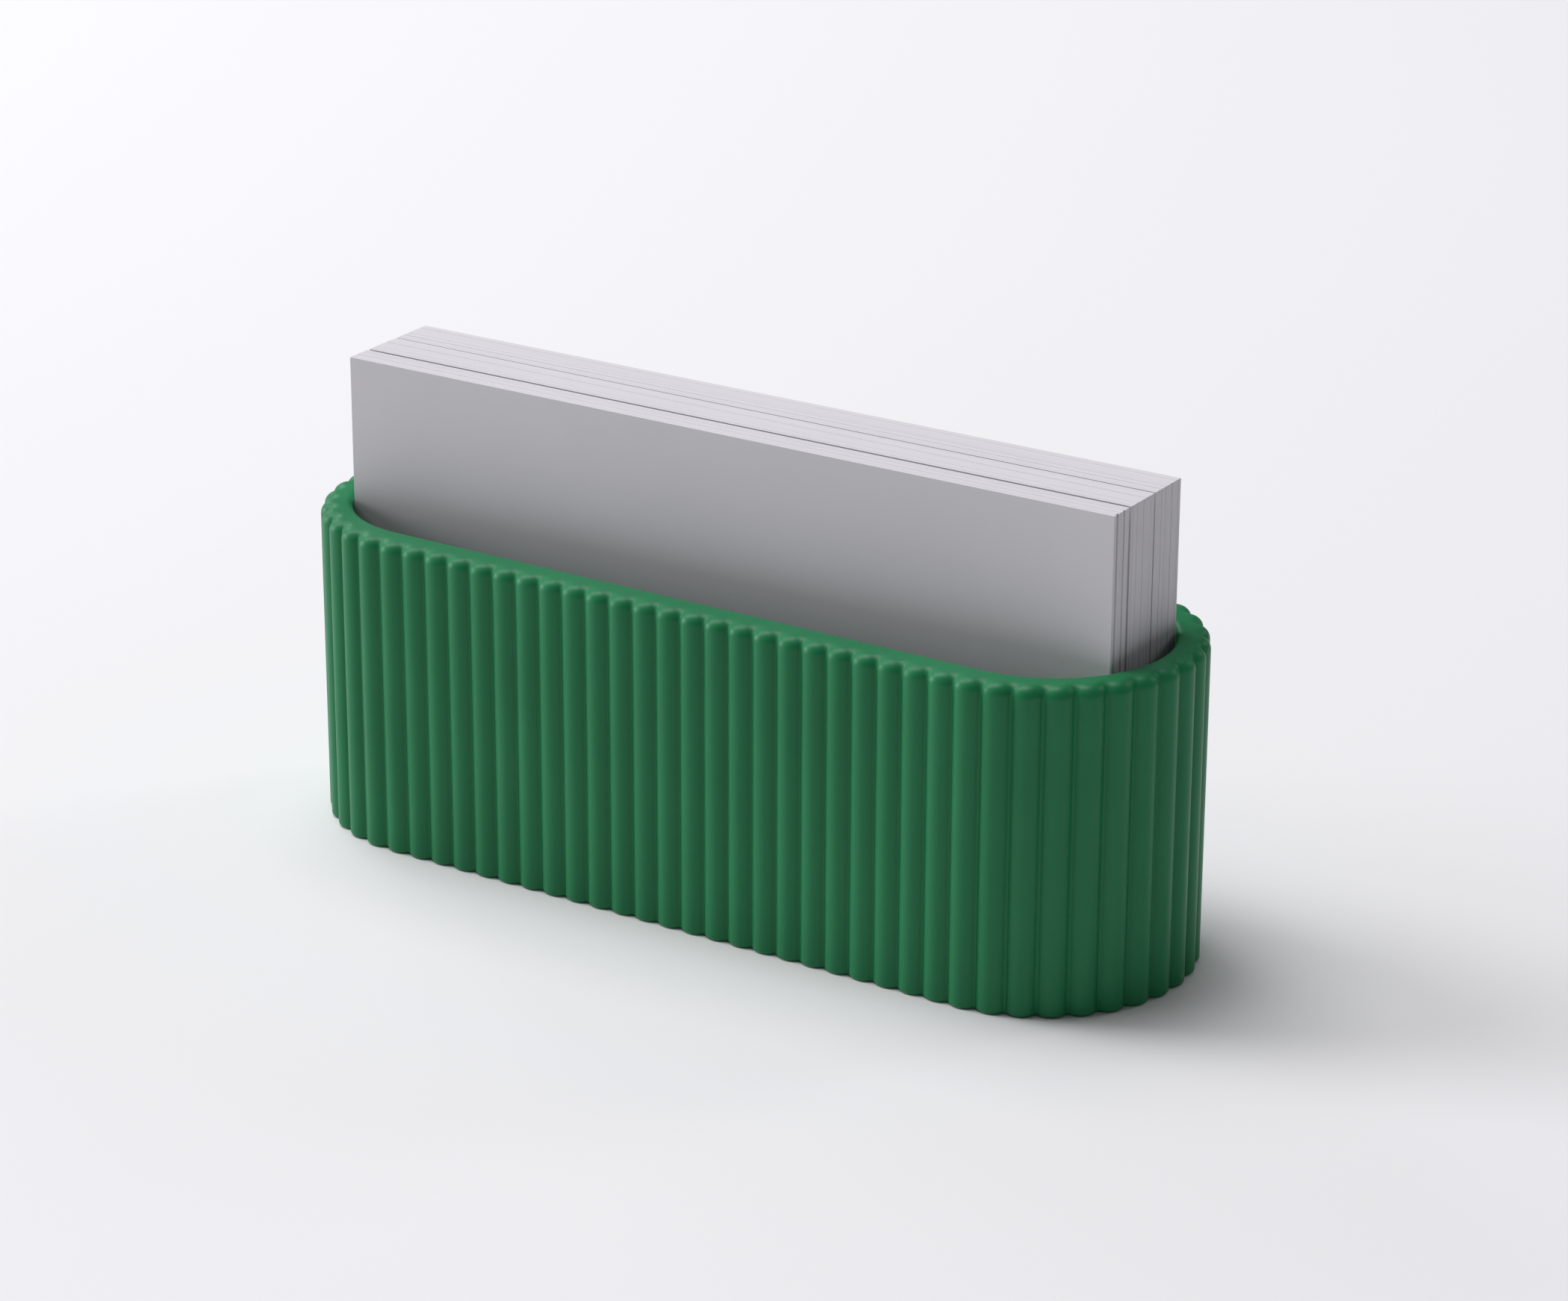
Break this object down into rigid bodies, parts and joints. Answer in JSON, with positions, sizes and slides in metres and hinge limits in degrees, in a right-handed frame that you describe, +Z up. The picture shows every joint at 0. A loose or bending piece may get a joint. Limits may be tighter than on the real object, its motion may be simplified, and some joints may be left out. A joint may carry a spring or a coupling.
{
  "type": "desktop card holder",
  "caption": "Round-ended desktop trough with upright ribs all round and an open pocket that holds a standing pack of plain business cards.",
  "frame": {"origin": "centre of the underside, on the table", "axes": "+Z up, +X along the trough, +Y towards the back"},
  "size_m": [0.101, 0.0326, 0.0498],
  "materials": {
    "holder_plastic": "satin moulded green",
    "card_stock": "smooth uncoated white card"
  },
  "bodies": {
    "holder": {"holder": "holder_plastic"},
    "card_01": {"card_01": "card_stock"},
    "card_02": {"card_02": "card_stock"},
    "card_03": {"card_03": "card_stock"},
    "card_04": {"card_04": "card_stock"},
    "card_05": {"card_05": "card_stock"},
    "card_06": {"card_06": "card_stock"},
    "card_07": {"card_07": "card_stock"},
    "card_08": {"card_08": "card_stock"},
    "card_09": {"card_09": "card_stock"},
    "card_10": {"card_10": "card_stock"},
    "card_11": {"card_11": "card_stock"},
    "card_12": {"card_12": "card_stock"},
    "card_13": {"card_13": "card_stock"},
    "card_14": {"card_14": "card_stock"},
    "card_15": {"card_15": "card_stock"},
    "card_16": {"card_16": "card_stock"},
    "card_17": {"card_17": "card_stock"},
    "card_18": {"card_18": "card_stock"},
    "card_19": {"card_19": "card_stock"},
    "card_20": {"card_20": "card_stock"},
    "card_21": {"card_21": "card_stock"},
    "card_22": {"card_22": "card_stock"},
    "card_23": {"card_23": "card_stock"},
    "card_24": {"card_24": "card_stock"},
    "card_25": {"card_25": "card_stock"},
    "card_26": {"card_26": "card_stock"},
    "card_27": {"card_27": "card_stock"},
    "card_28": {"card_28": "card_stock"},
    "card_29": {"card_29": "card_stock"},
    "card_30": {"card_30": "card_stock"}
  },
  "joints": [
    {"name": "card_01_lift", "type": "slide", "parent": "holder", "child": "card_01", "axis": [0, 0, 1], "range_m": [0, 0.052]},
    {"name": "card_02_lift", "type": "slide", "parent": "holder", "child": "card_02", "axis": [0, 0, 1], "range_m": [0, 0.052]},
    {"name": "card_03_lift", "type": "slide", "parent": "holder", "child": "card_03", "axis": [0, 0, 1], "range_m": [0, 0.052]},
    {"name": "card_04_lift", "type": "slide", "parent": "holder", "child": "card_04", "axis": [0, 0, 1], "range_m": [0, 0.052]},
    {"name": "card_05_lift", "type": "slide", "parent": "holder", "child": "card_05", "axis": [0, 0, 1], "range_m": [0, 0.052]},
    {"name": "card_06_lift", "type": "slide", "parent": "holder", "child": "card_06", "axis": [0, 0, 1], "range_m": [0, 0.052]},
    {"name": "card_07_lift", "type": "slide", "parent": "holder", "child": "card_07", "axis": [0, 0, 1], "range_m": [0, 0.052]},
    {"name": "card_08_lift", "type": "slide", "parent": "holder", "child": "card_08", "axis": [0, 0, 1], "range_m": [0, 0.052]},
    {"name": "card_09_lift", "type": "slide", "parent": "holder", "child": "card_09", "axis": [0, 0, 1], "range_m": [0, 0.052]},
    {"name": "card_10_lift", "type": "slide", "parent": "holder", "child": "card_10", "axis": [0, 0, 1], "range_m": [0, 0.052]},
    {"name": "card_11_lift", "type": "slide", "parent": "holder", "child": "card_11", "axis": [0, 0, 1], "range_m": [0, 0.052]},
    {"name": "card_12_lift", "type": "slide", "parent": "holder", "child": "card_12", "axis": [0, 0, 1], "range_m": [0, 0.052]},
    {"name": "card_13_lift", "type": "slide", "parent": "holder", "child": "card_13", "axis": [0, 0, 1], "range_m": [0, 0.052]},
    {"name": "card_14_lift", "type": "slide", "parent": "holder", "child": "card_14", "axis": [0, 0, 1], "range_m": [0, 0.052]},
    {"name": "card_15_lift", "type": "slide", "parent": "holder", "child": "card_15", "axis": [0, 0, 1], "range_m": [0, 0.052]},
    {"name": "card_16_lift", "type": "slide", "parent": "holder", "child": "card_16", "axis": [0, 0, 1], "range_m": [0, 0.052]},
    {"name": "card_17_lift", "type": "slide", "parent": "holder", "child": "card_17", "axis": [0, 0, 1], "range_m": [0, 0.052]},
    {"name": "card_18_lift", "type": "slide", "parent": "holder", "child": "card_18", "axis": [0, 0, 1], "range_m": [0, 0.052]},
    {"name": "card_19_lift", "type": "slide", "parent": "holder", "child": "card_19", "axis": [0, 0, 1], "range_m": [0, 0.052]},
    {"name": "card_20_lift", "type": "slide", "parent": "holder", "child": "card_20", "axis": [0, 0, 1], "range_m": [0, 0.052]},
    {"name": "card_21_lift", "type": "slide", "parent": "holder", "child": "card_21", "axis": [0, 0, 1], "range_m": [0, 0.052]},
    {"name": "card_22_lift", "type": "slide", "parent": "holder", "child": "card_22", "axis": [0, 0, 1], "range_m": [0, 0.052]},
    {"name": "card_23_lift", "type": "slide", "parent": "holder", "child": "card_23", "axis": [0, 0, 1], "range_m": [0, 0.052]},
    {"name": "card_24_lift", "type": "slide", "parent": "holder", "child": "card_24", "axis": [0, 0, 1], "range_m": [0, 0.052]},
    {"name": "card_25_lift", "type": "slide", "parent": "holder", "child": "card_25", "axis": [0, 0, 1], "range_m": [0, 0.052]},
    {"name": "card_26_lift", "type": "slide", "parent": "holder", "child": "card_26", "axis": [0, 0, 1], "range_m": [0, 0.052]},
    {"name": "card_27_lift", "type": "slide", "parent": "holder", "child": "card_27", "axis": [0, 0, 1], "range_m": [0, 0.052]},
    {"name": "card_28_lift", "type": "slide", "parent": "holder", "child": "card_28", "axis": [0, 0, 1], "range_m": [0, 0.052]},
    {"name": "card_29_lift", "type": "slide", "parent": "holder", "child": "card_29", "axis": [0, 0, 1], "range_m": [0, 0.052]},
    {"name": "card_30_lift", "type": "slide", "parent": "holder", "child": "card_30", "axis": [0, 0, 1], "range_m": [0, 0.052]}
  ]
}
